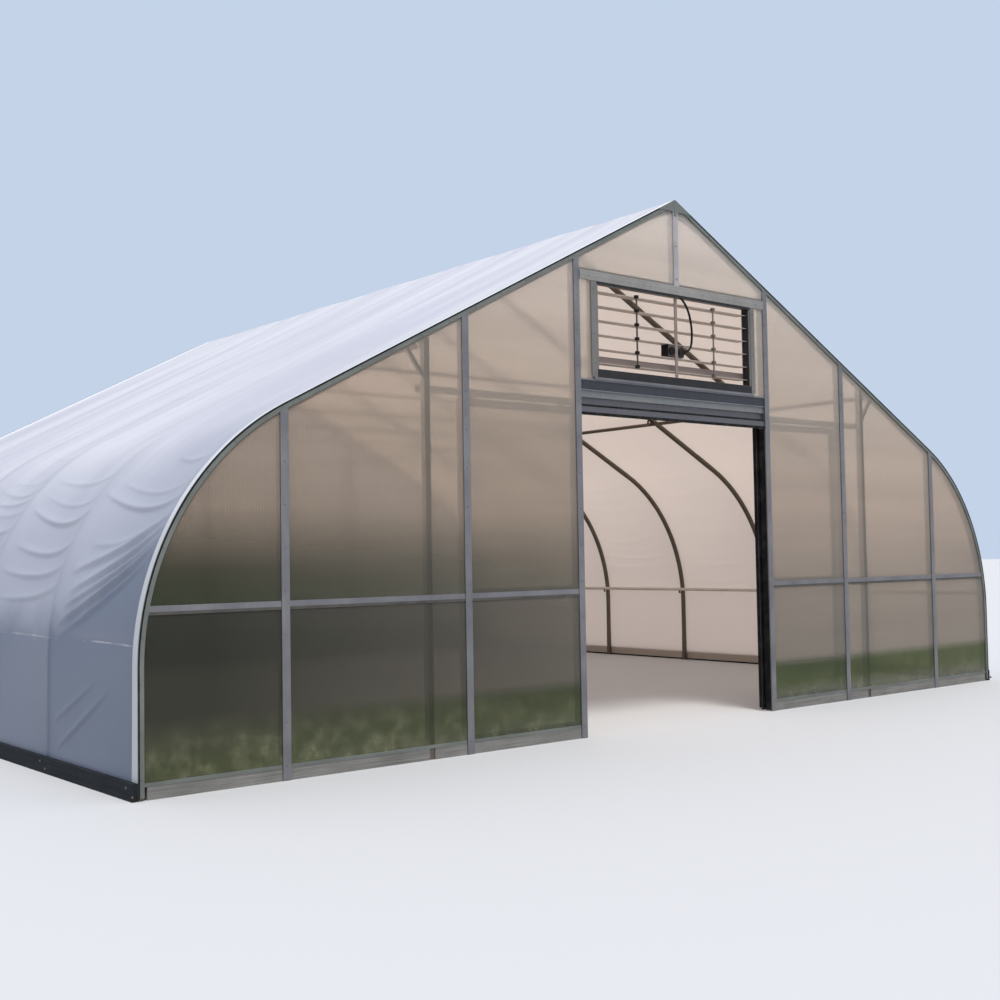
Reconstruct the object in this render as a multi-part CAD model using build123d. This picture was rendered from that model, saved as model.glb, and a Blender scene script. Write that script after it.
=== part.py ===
from build123d import *
from math import cos, radians, sin, sqrt, tan
import os

# A gothic-arch polytunnel greenhouse, in millimetres.
# X runs across the tunnel, Y along it with the door gable towards -Y, Z up.
# The origin is at the centre of the footprint, on the ground.

# Arch line, at the outer face of the film
half_width = 5120
bend_radius = 2000
leg_height = 830
rafter_slope = 27.5

# Bays
bay_length = 1524
bay_count = 6

# Film, bows and the tubes that tie them
film_thickness = 4
film_foot = 20
bow_diameter = 60
purlin_diameter = 42
purlin_from_side = 2220
side_rail_height = 1000
tie_diameter = 33
tie_drop = 1519
seat_gap = 0.3

# Timber boards at the ground
side_board_height = 115
side_board_thickness = 38
gable_board_height = 85
gable_board_thickness = 36

# Gable framing: a tube inside, a cover strip outside, the sheets between
sheet_thickness = 8
sheet_gap = 1
trim_depth = 10
edge_strip_width = 42
cover_strip_width = 64
web_width = 6
mullion_width = 50
jamb_width = 64
jamb_x = 1240
leaf_bay_width = 1197
edge_bay_width = 1075
track_post_width = 50
track_post_offset = 363
mid_rail_height = 1202
mid_rail_size = 60
mid_rail_depth = 40
mid_rail_cap_depth = 5
peak_plate_drop = 112
peak_plate_thickness = 3
brace_size = 26
brace_reach = 190
brace_drop = 330

# Door head
lintel_height = 77
lintel_depth = 30
lintel_web_height = 60
header_size = 60
folded_metal = 3
fascia_height = 96
fascia_depth = 20

# Louvre shutter over the door
shutter_half_width = 995
shutter_height = 740
shutter_frame_width = 55
shutter_sill_height = 92
shutter_frame_depth = 88
head_rail_size = 60
head_rail_drop = 30

# Louvre blades, open, and what turns them
blade_count = 6
blade_thickness = 4
blade_width = 118
blade_tilt = 3
link_rod_diameter = 16
link_rod_x = 505
link_rod_inset = 12
motor_bar_width = 34
motor_bar_thickness = 8
motor_width = 200
motor_depth = 80
motor_clearance = 4
shutter_rail_height = 60
shutter_rail_thickness = 25

# Sliding door leaves, hung from a track inside the gable
leaf_width = 1242
leaf_depth = 40
leaf_foot = 25
leaf_head_gap = 20
leaf_edge_x = 1185
leaf_clearance = 20
stile_width = 45
top_rail_width = 60
bottom_rail_width = 100
leaf_mid_rail_low = 1200
leaf_mid_rail_width = 60
track_drop = 60
track_height = 50
track_depth = 60
track_wall = 3
track_slot = 20
lug_width = 40
hanger_inset = 150
hanger_plate = 8
hanger_width = 60
hanger_foot = 4
wheel_diameter = 30
wheel_side_gap = 5
wheel_seat_gap = 0.5

half_length = bay_length * bay_count / 2
bend_x = half_width - bend_radius
bend_angle = 90 - rafter_slope
slope_cos = cos(radians(rafter_slope))
slope_tan = tan(radians(rafter_slope))
hip_x = bend_x + bend_radius * cos(radians(bend_angle))
hip_z = leg_height + bend_radius * sin(radians(bend_angle))
apex_height = hip_z + hip_x * slope_tan
purlin_x = half_width - purlin_from_side
tie_height = apex_height - tie_drop
inner_mullion_x = jamb_x + leaf_bay_width
outer_mullion_x = half_width - edge_bay_width
track_post_x = inner_mullion_x + track_post_offset

# Depths measured outward from the centre plane of the end bow
frame_face = bow_diameter / 2
sheet_face = frame_face + sheet_thickness
trim_face = sheet_face + trim_depth

# Insets measured inward from the arch line
bow_outside = film_thickness + seat_gap
bow_centre = bow_outside + bow_diameter / 2
bow_inside = bow_outside + bow_diameter
frame_trim = bow_inside + seat_gap


def block(low, high):
    """A box between two opposite corners."""
    size = [b - a for a, b in zip(low, high)]
    return Pos(*low) * Box(*size, align=(Align.MIN, Align.MIN, Align.MIN))


def solid_list(shapes):
    """One node's separate solids as a compound."""
    parts = []
    for shape in shapes:
        parts.extend(shape.solids())
    return Compound(children=parts)


def arch_height(inset, x):
    """Height of the arch line, moved inward by the inset, at a place across the tunnel."""
    x = abs(x)
    radius = bend_radius - inset
    straight_from = bend_x + radius * cos(radians(bend_angle))
    if x <= straight_from:
        return apex_height - inset / slope_cos - x * slope_tan
    return leg_height + sqrt(radius ** 2 - (x - bend_x) ** 2)


def arch_x(inset, z):
    """Distance of the bent part of the arch line from the middle, at a height on the bend."""
    radius = bend_radius - inset
    return bend_x + sqrt(radius ** 2 - (z - leg_height) ** 2)


def half_line(inset, foot, past=0):
    """Leg, bend and rafter edges of the right half of the arch line."""
    radius = bend_radius - inset
    side = half_width - inset

    def on_bend(angle):
        turn = radians(angle)
        return (bend_x + radius * cos(turn), 0, leg_height + radius * sin(turn))

    leg = Line((side, 0, foot), (side, 0, leg_height))
    bend = ThreePointArc((side, 0, leg_height), on_bend(bend_angle / 2), on_bend(bend_angle))
    ridge = (-past, 0, apex_height - inset / slope_cos + past * slope_tan)
    return leg, bend, Line(on_bend(bend_angle), ridge)


def arch_prism(inset, y_low, y_high, foot=0):
    """All that lies under the arch line, moved inward by the inset, between two places along Y."""
    leg, bend, rafter = half_line(inset, foot)
    right = make_face([leg, bend, rafter, Line(rafter @ 1, (0, 0, foot)), Line((0, 0, foot), leg @ 0)])
    half = extrude(right, amount=y_high - y_low, dir=(0, 1, 0))
    return Pos(0, y_low, 0) * (half + mirror(half, about=Plane.YZ))


def depth_range(outward, inner, outer):
    """Y places of a layer of one gable, from its depths outward of the end bow."""
    return sorted((outward * (half_length + inner), outward * (half_length + outer)))


def layer(outward, x_low, x_high, inner, outer, z_low, z_high):
    """A box in one gable, placed by depths outward of the end bow."""
    y_low, y_high = depth_range(outward, inner, outer)
    return block((x_low, y_low, z_low), (x_high, y_high, z_high))


def under_arch(outward, inset, inner, outer, foot=0):
    """The arch area of one gable as a slab between two depths."""
    y_low, y_high = depth_range(outward, inner, outer)
    return arch_prism(inset, y_low, y_high, foot)


def facing(x_low, x_high, sign):
    """A stretch across the tunnel, on the right for sign 1 and mirrored for -1."""
    return sorted((sign * x_low, sign * x_high))


def bow(y):
    """One tube bow, with legs, bends and two rafters that meet at the ridge."""
    path = Wire(half_line(bow_centre, 0, past=bow_diameter))
    section = Plane(origin=path @ 0, z_dir=path % 0) * Circle(bow_diameter / 2)
    half = split(sweep(section, path), bisect_by=Plane.YZ, keep=Keep.TOP)
    return Pos(0, y, 0) * (half + mirror(half, about=Plane.YZ))


def long_tube(x, z, diameter, start, end):
    """A round tube along the tunnel."""
    return Pos(x, start, z) * extrude(Plane.XZ * Circle(diameter / 2), amount=end - start, dir=(0, 1, 0))


def purlins():
    """Ridge purlin, two slope purlins and two side rails, all under the bows."""
    reach = half_length + frame_face - seat_gap
    under_bow = bow_inside + seat_gap + purlin_diameter / 2
    tubes = [long_tube(0, ridge_purlin_height, purlin_diameter, -reach, reach)]
    for sign in (-1, 1):
        slope_z = arch_height(under_bow, purlin_x)
        tubes.append(long_tube(sign * purlin_x, slope_z, purlin_diameter, -reach, reach))
        side_x = arch_x(under_bow, side_rail_height)
        tubes.append(long_tube(sign * side_x, side_rail_height, purlin_diameter, -reach, reach))
    return solid_list(tubes)


def cross_ties():
    """A level tie across each inner bow, cut to the slope of the rafters."""
    ties = []
    for index in range(1, bay_count):
        y = index * bay_length - half_length
        bar = Plane.YZ * Circle(tie_diameter / 2)
        bar = extrude(bar, amount=half_width, both=True)
        room = arch_prism(frame_trim, -tie_diameter, tie_diameter)
        ties.append(Pos(0, y, 0) * ((Pos(0, 0, tie_height) * bar) & room))
    return solid_list(ties)


def side_boards():
    """Timber boards along both sides, outside the foot of the film."""
    reach = half_length + sheet_face
    boards = []
    for sign in (-1, 1):
        x_low, x_high = facing(half_width, half_width + side_board_thickness, sign)
        boards.append(block((x_low, -reach, 0), (x_high, reach, side_board_height)))
    return solid_list(boards)


def bays_across(doorway):
    """Stretches between the tubes of one side of a gable, from the middle outward."""
    half_mullion = mullion_width / 2
    edges = [(inner_mullion_x - half_mullion, inner_mullion_x + half_mullion)]
    if doorway:
        half_post = track_post_width / 2
        edges.append((track_post_x - half_post, track_post_x + half_post))
    edges.append((outer_mullion_x - half_mullion, outer_mullion_x + half_mullion))
    starts = [jamb_x + jamb_width / 2] + [high for low, high in edges]
    ends = [low for low, high in edges] + [half_width]
    return list(zip(starts, ends))


def gable_boards():
    """Boards at the foot of both gables, one between each pair of posts."""
    boards = []
    for outward in (-1, 1):
        inner = sheet_face - gable_board_thickness
        room = under_arch(outward, frame_trim, inner, sheet_face)
        stretches = bays_across(outward < 0)
        if outward > 0:
            stretches.append((mullion_width / 2, jamb_x - jamb_width / 2))
        for x_low, x_high in stretches:
            for sign in (-1, 1):
                left, right = facing(x_low, x_high, sign)
                board = layer(outward, left, right, inner, sheet_face, 0, gable_board_height)
                boards.append(board & room)
    return solid_list(boards)


def mid_rails(outward):
    """Rails at waist height: bars behind the sheets, with a web and an outer cap between them."""
    inner = frame_face - mid_rail_depth
    bar_room = under_arch(outward, frame_trim, inner, frame_face)
    low = mid_rail_height - mid_rail_size / 2
    high = mid_rail_height + mid_rail_size / 2
    stretches = bays_across(outward < 0)
    joints = [jamb_x, inner_mullion_x, outer_mullion_x, half_width]
    if outward > 0:
        stretches.append((mullion_width / 2, jamb_x - jamb_width / 2))
        joints.insert(0, 0)
    bars = []
    for left, right in stretches:
        bars.append(layer(outward, left, right, inner, frame_face, low, high) & bar_room)
    cap_face = sheet_face + mid_rail_cap_depth
    cap_room = under_arch(outward, edge_strip_width + seat_gap, frame_face, cap_face)
    half_strip = cover_strip_width / 2 + seat_gap
    half_web = web_width / 2
    rails = []
    for start, end in zip(joints[:-1], joints[1:]):
        left = start + half_strip
        right = end - half_strip if end < half_width else end
        web_low = mid_rail_height - half_web
        web_high = mid_rail_height + half_web
        web = layer(outward, left, right, frame_face, sheet_face, web_low, web_high)
        cap = layer(outward, left, right, sheet_face, cap_face, low, high)
        rail = (web + cap) & cap_room
        for bar in bars:
            if start < bar.center().X < end:
                rail = rail + bar
        rails.extend([rail, mirror(rail, about=Plane.YZ)])
    return rails


def glazing_post(outward, x, tube_width, foot=0, tube_foot=0, tube_top=None):
    """A tube post with its web and outer cover strip, which clamp the sheets, cut to the arch."""
    half = tube_width / 2
    tube_room = under_arch(outward, frame_trim, -frame_face, frame_face)
    high = tube_top or apex_height
    tube = layer(outward, x - half, x + half, -frame_face, frame_face, tube_foot, high) & tube_room
    strip_room = under_arch(outward, edge_strip_width + seat_gap, frame_face, trim_face)
    half_web = web_width / 2
    web = layer(outward, x - half_web, x + half_web, frame_face, sheet_face, foot, apex_height)
    half_strip = cover_strip_width / 2
    strip = layer(outward, x - half_strip, x + half_strip, sheet_face, trim_face, foot, apex_height)
    return tube + ((web + strip) & strip_room)


def jamb_post(sign):
    """A door post whose shoulder fills the sheet line on the doorway side."""
    x = sign * jamb_x
    half = jamb_width / 2
    tube_room = under_arch(-1, frame_trim, -frame_face, frame_face)
    tube = layer(-1, x - half, x + half, -frame_face, frame_face, 0, apex_height) & tube_room
    strip_room = under_arch(-1, edge_strip_width + seat_gap, frame_face, trim_face)
    left, right = facing(jamb_x - half, jamb_x, sign)
    shoulder = layer(-1, left, right, frame_face, sheet_face, 0, apex_height)
    half_strip = cover_strip_width / 2
    strip = layer(-1, x - half_strip, x + half_strip, sheet_face, trim_face, 0, apex_height)
    return tube + ((shoulder + strip) & strip_room)


def track_posts():
    """Two inner posts that carry the ends of the door track, each with a knee brace to the bow."""
    posts = []
    inner = frame_face - track_post_width
    room = under_arch(-1, frame_trim, inner, frame_face)
    for sign in (-1, 1):
        half = track_post_width / 2
        left, right = facing(track_post_x - half, track_post_x + half, sign)
        post = layer(-1, left, right, inner, frame_face, 0, apex_height)
        top_x = track_post_x + brace_reach
        top_z = arch_height(frame_trim, top_x) + brace_size
        low_z = arch_height(frame_trim, track_post_x) - brace_drop
        line = Line((sign * track_post_x, 0, low_z), (sign * top_x, 0, top_z))
        section = Plane(origin=line @ 0, z_dir=line % 0, x_dir=(0, 1, 0)) * Rectangle(brace_size, brace_size)
        brace_y = depth_range(-1, frame_face - brace_size, frame_face)[0] + brace_size / 2
        brace = Pos(0, brace_y, 0) * sweep(section, line)
        posts.append((post + brace) & room)
    return solid_list(posts)


def ridge_stud():
    """The post from the shutter head to the ridge purlin, with its cover strip."""
    tube_top = ridge_purlin_height - purlin_diameter / 2 - seat_gap
    return glazing_post(-1, 0, mullion_width, head_rail_low + seat_gap, head_rail_top, tube_top)


def peak_plates():
    """A triangular plate over the ridge joint of the edge strips, on both gables."""
    plates = []
    for outward in (-1, 1):
        face = trim_face + peak_plate_thickness
        low = apex_height - peak_plate_drop
        area = layer(outward, -half_width, half_width, trim_face, face, low, apex_height)
        plates.append(under_arch(outward, 0, trim_face, face) & area)
    return solid_list(plates)


def sheets(outward, stretches, heights):
    """Sheets of one gable, cut to the arch, for the stretches and the heights given."""
    room = under_arch(outward, bow_outside, frame_face, sheet_face)
    cut = []
    for left, right in stretches:
        for z_low, z_high in heights:
            cut.append(layer(outward, left, right, frame_face, sheet_face, z_low, z_high) & room)
    return cut


def side_stretches(sign, start):
    """Sheets of one side of a gable, from the post web at start to the arch."""
    gap = web_width / 2 + sheet_gap
    joints = [start]
    for x in (inner_mullion_x, outer_mullion_x):
        joints.extend((x - gap, x + gap))
    joints.append(half_width)
    pairs = zip(joints[0::2], joints[1::2])
    return [facing(low, high, sign) for low, high in pairs]


def front_sheets(sign):
    """Three low and three high sheets beside the doorway, on the gable boards."""
    stretches = side_stretches(sign, jamb_x + sheet_gap)
    return solid_list(sheets(-1, stretches, sheet_heights))


def upper_sheets():
    """Strips beside the shutter and the two peak sheets over it."""
    pieces = []
    inner_edge = jamb_x - jamb_width / 2 - seat_gap
    for sign in (-1, 1):
        left, right = facing(shutter_half_width + shutter_frame_width + seat_gap, inner_edge, sign)
        strip_top = head_rail_low - seat_gap
        pieces.append(layer(-1, left, right, frame_face, sheet_face, shutter_sill, strip_top))
        peak = facing(web_width / 2 + sheet_gap, inner_edge, sign)
        pieces.extend(sheets(-1, [peak], [(head_rail_low + seat_gap, apex_height)]))
    return solid_list(pieces)


def back_sheets():
    """Sheets of the back gable, four low and four high each side of the ridge post."""
    gap = web_width / 2 + sheet_gap
    stretches = []
    for sign in (-1, 1):
        stretches.append(facing(gap, jamb_x - gap, sign))
        stretches.extend(side_stretches(sign, jamb_x + gap))
    return solid_list(sheets(1, stretches, sheet_heights))


def back_posts():
    """Posts of the back gable, at the places of the front ones."""
    ridge_top = ridge_purlin_height - purlin_diameter / 2 - seat_gap
    posts = [glazing_post(1, 0, mullion_width, tube_top=ridge_top)]
    for sign in (-1, 1):
        posts.append(glazing_post(1, sign * jamb_x, jamb_width))
        posts.append(glazing_post(1, sign * inner_mullion_x, mullion_width))
        posts.append(glazing_post(1, sign * outer_mullion_x, mullion_width))
    return solid_list(posts)


def edge_strips():
    """The flat strip over the edge of the gable sheets, along the whole arch of both gables."""
    strips = []
    for outward in (-1, 1):
        foot = film_foot
        whole = under_arch(outward, 0, sheet_face, trim_face, foot)
        inside = under_arch(outward, edge_strip_width, sheet_face - 1, trim_face + 1, foot - 1)
        strips.append(whole - inside)
    return solid_list(strips)


def folded_channel(inner, outer, z_low, z_high):
    """A channel of folded metal between the door posts, open towards the inside."""
    reach = jamb_x - jamb_width / 2
    whole = layer(-1, -reach, reach, inner, outer, z_low, z_high)
    hollow = layer(-1, -reach, reach, inner - 1, outer - folded_metal, z_low + folded_metal, z_high - folded_metal)
    return whole - hollow


def door_lintel():
    """The channel over the leaves, with a web at its back up to the header tube."""
    inner = sheet_face - lintel_depth
    channel = folded_channel(inner, sheet_face, lintel_low, lintel_low + lintel_height)
    reach = jamb_x - jamb_width / 2
    web_low = lintel_low + lintel_height - folded_metal
    web = layer(-1, -reach, reach, inner, inner + folded_metal, web_low, header_low - seat_gap)
    return channel + web


def cross_rail(z_low, size):
    """A square tube between the door posts, in the plane of the framing."""
    reach = jamb_x - jamb_width / 2
    return layer(-1, -reach, reach, -frame_face, frame_face, z_low, z_low + size)


def shutter_frame():
    """The four-sided frame that the louvre blades turn in."""
    outer = trim_face
    inner = trim_face - shutter_frame_depth
    wide = shutter_half_width + shutter_frame_width
    whole = layer(-1, -wide, wide, inner, outer, shutter_sill, head_rail_low)
    opening = layer(-1, -shutter_half_width, shutter_half_width, inner - 1, outer + 1, shutter_low, shutter_high)
    return whole - opening


def blade_height(index):
    """Height of one blade's middle, counted from the bottom."""
    return shutter_low + (index + 0.5) * blade_pitch


def shutter_blades():
    """Louvre blades across the shutter, open, with their outer edges behind the link rods."""
    centre = rod_centre - link_rod_diameter / 2 - seat_gap - blade_width / 2
    reach = shutter_half_width - seat_gap
    blades = []
    for index in range(blade_count):
        plate = Box(2 * reach, blade_width, blade_thickness)
        blades.append(Pos(0, -half_length - centre, blade_height(index)) * Rot(blade_tilt, 0, 0) * plate)
    return solid_list(blades)


def shutter_linkage():
    """Two link rods before the blades, a bar with the motor behind it, and a rail across."""
    rod_height = blade_pitch * (blade_count - 1)
    middle = (shutter_high + shutter_low) / 2
    pieces = []
    for sign in (-1, 1):
        rod = Cylinder(link_rod_diameter / 2, rod_height)
        pieces.append(Pos(sign * link_rod_x, -half_length - rod_centre, middle) * rod)
    bar_inner = rod_centre - link_rod_diameter / 2
    bar_outer = bar_inner + motor_bar_thickness
    half = motor_bar_width / 2
    bar = layer(-1, -half, half, bar_inner, bar_outer, shutter_low, shutter_high)
    motor_gap = blade_thickness / 2 + motor_clearance
    motor_low = blade_height(1) + motor_gap
    motor_high = blade_height(2) - motor_gap
    half_motor = motor_width / 2
    motor = layer(-1, -half_motor, half_motor, bar_inner - motor_depth, bar_inner, motor_low, motor_high)
    pieces.append(bar + motor)
    rail_inner = trim_face - shutter_frame_depth - shutter_rail_thickness
    rail_low = blade_height(0) + motor_gap
    wide = shutter_half_width + shutter_frame_width
    pieces.append(layer(-1, -wide, wide, rail_inner, rail_inner + shutter_rail_thickness, rail_low,
                        rail_low + shutter_rail_height))
    return solid_list(pieces)


def door_track():
    """The slotted box track of both leaves, with a lug on each post that carries it."""
    reach = track_post_x + track_post_width / 2
    inner = track_outer - track_depth
    whole = layer(-1, -reach, reach, inner, track_outer, track_low, track_low + track_height)
    bore_high = track_low + track_height - track_wall
    bore = layer(-1, -reach, reach, inner + track_wall, track_outer - track_wall, track_low + track_wall, bore_high)
    middle = (inner + track_outer) / 2
    slot_half = track_slot / 2
    slot = layer(-1, -reach, reach, middle - slot_half, middle + slot_half, track_low, track_low + track_wall)
    track = whole - bore - slot
    half_lug = lug_width / 2
    lug_places = (jamb_x, inner_mullion_x, track_post_x)
    lug_backs = (-frame_face, -frame_face, frame_face - track_post_width)
    for x, back in zip(lug_places, lug_backs):
        for sign in (-1, 1):
            centre = sign * x
            lug = layer(-1, centre - half_lug, centre + half_lug, track_outer, back, track_low, track_low + track_height)
            track = track + lug
    return track


def leaf_frame(sign):
    """The frame of one sliding leaf: two stiles and three rails."""
    left, right = facing(leaf_edge_x, leaf_edge_x + leaf_width, sign)
    frame = layer(-1, left, right, leaf_outer - leaf_depth, leaf_outer, leaf_foot, leaf_top)
    for z_low, z_high in leaf_openings:
        hole = layer(-1, left + stile_width, right - stile_width, -half_length, frame_face, z_low, z_high)
        frame = frame - hole
    return frame


def leaf_sheets(sign):
    """The two sheets of one leaf, in the middle of its frame."""
    left, right = facing(leaf_edge_x, leaf_edge_x + leaf_width, sign)
    middle = leaf_outer - leaf_depth / 2
    pieces = []
    for z_low, z_high in leaf_openings:
        near = middle + sheet_thickness / 2
        far = middle - sheet_thickness / 2
        pieces.append(layer(-1, left + stile_width, right - stile_width, far, near, z_low, z_high))
    return solid_list(pieces)


def leaf_hangers(sign):
    """Two wheel hangers on top of one leaf, with their wheels in the track."""
    middle = leaf_outer - leaf_depth / 2
    wheel_z = track_low + track_wall + wheel_seat_gap + wheel_diameter / 2
    wheel_reach = track_depth / 2 - track_wall - wheel_side_gap
    hangers = []
    for inset in (hanger_inset, leaf_width - hanger_inset):
        x = sign * (leaf_edge_x + inset)
        half = hanger_width / 2
        half_plate = hanger_plate / 2
        half_leaf = leaf_depth / 2
        foot = layer(-1, x - hanger_width, x + hanger_width, middle - half_leaf, middle + half_leaf, leaf_top,
                     leaf_top + hanger_foot)
        plate = layer(-1, x - half, x + half, middle - half_plate, middle + half_plate, leaf_top, wheel_z)
        wheel = extrude(Plane.XZ * Circle(wheel_diameter / 2), amount=wheel_reach, both=True)
        hangers.append(foot + plate + Pos(x, -half_length - middle, wheel_z) * wheel)
    return solid_list(hangers)


def cover_side(sign):
    """Film on the upright legs of one side, down behind the board."""
    reach = half_length + sheet_face
    left, right = facing(half_width - film_thickness, half_width, sign)
    return block((left, -reach, film_foot), (right, reach, leg_height))


def cover_bend(sign):
    """Film round the bend of one side."""
    outer = half_line(0, 0)[1]
    inner = half_line(film_thickness, 0)[1]
    face = make_face([outer, Line(outer @ 1, inner @ 1), inner, Line(inner @ 0, outer @ 0)])
    return lengthwise(face, sign)


def cover_slope(sign):
    """Film on the rafters of one side, up to the ridge."""
    outer = half_line(0, 0)[2]
    inner = half_line(film_thickness, 0)[2]
    face = make_face([outer, Line(outer @ 1, inner @ 1), inner, Line(inner @ 0, outer @ 0)])
    return lengthwise(face, sign)


def lengthwise(face, sign):
    """A face of the right half drawn out along the tunnel, on the side asked for."""
    reach = half_length + sheet_face
    skin = Pos(0, -reach, 0) * extrude(face, amount=2 * reach, dir=(0, 1, 0))
    return skin if sign > 0 else mirror(skin, about=Plane.YZ)


ridge_purlin_height = arch_height(frame_trim + purlin_diameter / 2, 0)
sheet_heights = [
    (gable_board_height + seat_gap, mid_rail_height - web_width / 2 - sheet_gap),
    (mid_rail_height + web_width / 2 + sheet_gap, apex_height),
]

# Door head, from the arch down to the leaves
head_rail_top = arch_height(frame_trim, jamb_x + jamb_width / 2) - head_rail_drop
head_rail_low = head_rail_top - head_rail_size
shutter_high = head_rail_low - shutter_frame_width
shutter_low = shutter_high - shutter_height
shutter_sill = shutter_low - shutter_sill_height
blade_pitch = shutter_height / blade_count
rod_centre = trim_face - link_rod_inset - link_rod_diameter / 2
header_low = shutter_sill - fascia_height - header_size
track_low = header_low - track_drop
leaf_top = track_low - leaf_head_gap
lintel_low = header_low - lintel_web_height - lintel_height
leaf_outer = -frame_face - leaf_clearance
track_outer = leaf_outer - leaf_depth / 2 + track_depth / 2
leaf_openings = [
    (leaf_foot + bottom_rail_width, leaf_mid_rail_low),
    (leaf_mid_rail_low + leaf_mid_rail_width, leaf_top - top_rail_width),
]

nodes = {}
for number in range(bay_count + 1):
    nodes[f"bow_{number + 1}"] = bow(number * bay_length - half_length)
nodes["purlins"] = purlins()
nodes["cross_ties"] = cross_ties()
nodes["side_boards"] = side_boards()
nodes["gable_boards"] = gable_boards()
nodes["track_posts"] = track_posts()
nodes["mid_rails"] = solid_list(mid_rails(-1) + mid_rails(1))
nodes["ridge_stud"] = ridge_stud()
nodes["peak_plates"] = peak_plates()
nodes["edge_strips"] = edge_strips()
nodes["upper_sheets"] = upper_sheets()
nodes["door_lintel"] = door_lintel()
nodes["door_header"] = cross_rail(header_low, header_size)
nodes["door_fascia"] = folded_channel(sheet_face - fascia_depth, sheet_face, header_low + header_size, shutter_sill)
nodes["shutter_head_rail"] = cross_rail(head_rail_low, head_rail_size)
nodes["shutter_frame"] = shutter_frame()
nodes["shutter_blades"] = shutter_blades()
nodes["shutter_linkage"] = shutter_linkage()
nodes["door_track"] = door_track()
nodes["back_posts"] = back_posts()
nodes["back_sheets"] = back_sheets()
for side, sign in (("left", -1), ("right", 1)):
    nodes[f"jamb_post_{side}"] = jamb_post(sign)
    mullion_places = (sign * inner_mullion_x, sign * outer_mullion_x)
    nodes[f"mullions_{side}"] = solid_list([glazing_post(-1, x, mullion_width) for x in mullion_places])
    nodes[f"front_sheets_{side}"] = front_sheets(sign)
    nodes[f"door_{side}_frame"] = leaf_frame(sign)
    nodes[f"door_{side}_sheets"] = leaf_sheets(sign)
    nodes[f"door_{side}_hangers"] = leaf_hangers(sign)
    nodes[f"cover_side_{side}"] = cover_side(sign)
    nodes[f"cover_bend_{side}"] = cover_bend(sign)
    nodes[f"cover_slope_{side}"] = cover_slope(sign)

os.makedirs("parts", exist_ok=True)
for name, shape in nodes.items():
    export_step(shape, f"parts/{name}.step")
print(len(nodes), "nodes written, apex", round(apex_height), "mm")
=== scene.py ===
import math
import random

import bpy
import numpy as np
from mathutils import Matrix, Vector


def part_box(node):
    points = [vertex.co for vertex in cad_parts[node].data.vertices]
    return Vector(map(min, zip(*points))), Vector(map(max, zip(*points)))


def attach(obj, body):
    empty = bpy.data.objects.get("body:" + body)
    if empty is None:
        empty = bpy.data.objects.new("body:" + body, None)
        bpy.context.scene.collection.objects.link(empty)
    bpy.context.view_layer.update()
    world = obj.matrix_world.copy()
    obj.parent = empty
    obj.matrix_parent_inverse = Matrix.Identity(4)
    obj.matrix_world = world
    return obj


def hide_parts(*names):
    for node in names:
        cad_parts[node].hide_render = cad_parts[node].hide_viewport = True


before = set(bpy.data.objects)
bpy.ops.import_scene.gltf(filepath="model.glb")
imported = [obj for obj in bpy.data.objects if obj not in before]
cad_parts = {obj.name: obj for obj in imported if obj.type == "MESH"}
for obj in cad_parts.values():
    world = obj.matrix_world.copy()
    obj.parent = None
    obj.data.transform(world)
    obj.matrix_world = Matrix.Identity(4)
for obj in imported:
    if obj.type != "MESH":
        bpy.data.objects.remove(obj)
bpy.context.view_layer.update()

# Bows, cross ties and track posts
# Round steel tube, bent cold to the arch and clamped where tubes cross. It is dipped in molten zinc, which
# leaves a dull grey skin of crystals, drawn 16 mm wide, coarser than real ones, to show, and paler, chalky runs
# where it has weathered.
spangle_size = 0.016
zinc_run_length = 0.35
zinc_light = "#756B60"
zinc_dark = "#655C53"
zinc_metal = 0.75
bow_names = [f"bow_{number}" for number in range(1, 8)]


def linear(code):
    """An sRGB hex colour as linear red, green, blue and alpha."""
    channels = [int(code[at:at + 2], 16) / 255 for at in (1, 3, 5)]
    return [c / 12.92 if c <= 0.04045 else ((c + 0.055) / 1.055) ** 2.4 for c in channels] + [1.0]


def start_material(name):
    """An empty node material."""
    material = bpy.data.materials.new(name)
    material.use_nodes = True
    material.node_tree.nodes.clear()
    return material


def add_node(owner, kind, inputs=None, stops=(), **settings):
    """One shader node with its settings, its sockets set or linked as (node, output), and its ramp stops."""
    tree = owner.node_tree
    made = tree.nodes.new("ShaderNode" + kind)
    for name, value in settings.items():
        setattr(made, name, value)
    for name, value in (inputs or {}).items():
        if isinstance(value, tuple) and isinstance(value[0], bpy.types.Node):
            tree.links.new(value[0].outputs[value[1]], made.inputs[name])
        else:
            made.inputs[name].default_value = value
    for index, (place, code) in enumerate(stops):
        ramp = made.color_ramp.elements
        stop = ramp[index] if index < 2 else ramp.new(place)
        stop.position = place
        stop.color = linear(code)
    return made


def finish_material(material, shader):
    """Links the last shader to the material's surface."""
    output = "BSDF" if "BSDF" in shader.outputs else "Shader"
    add_node(material, "OutputMaterial", {"Surface": (shader, output)})
    return material


def clothe(names, material):
    """Gives CAD nodes their material."""
    for name in names:
        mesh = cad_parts[name].data
        mesh.materials.clear()
        mesh.materials.append(material)


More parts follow.
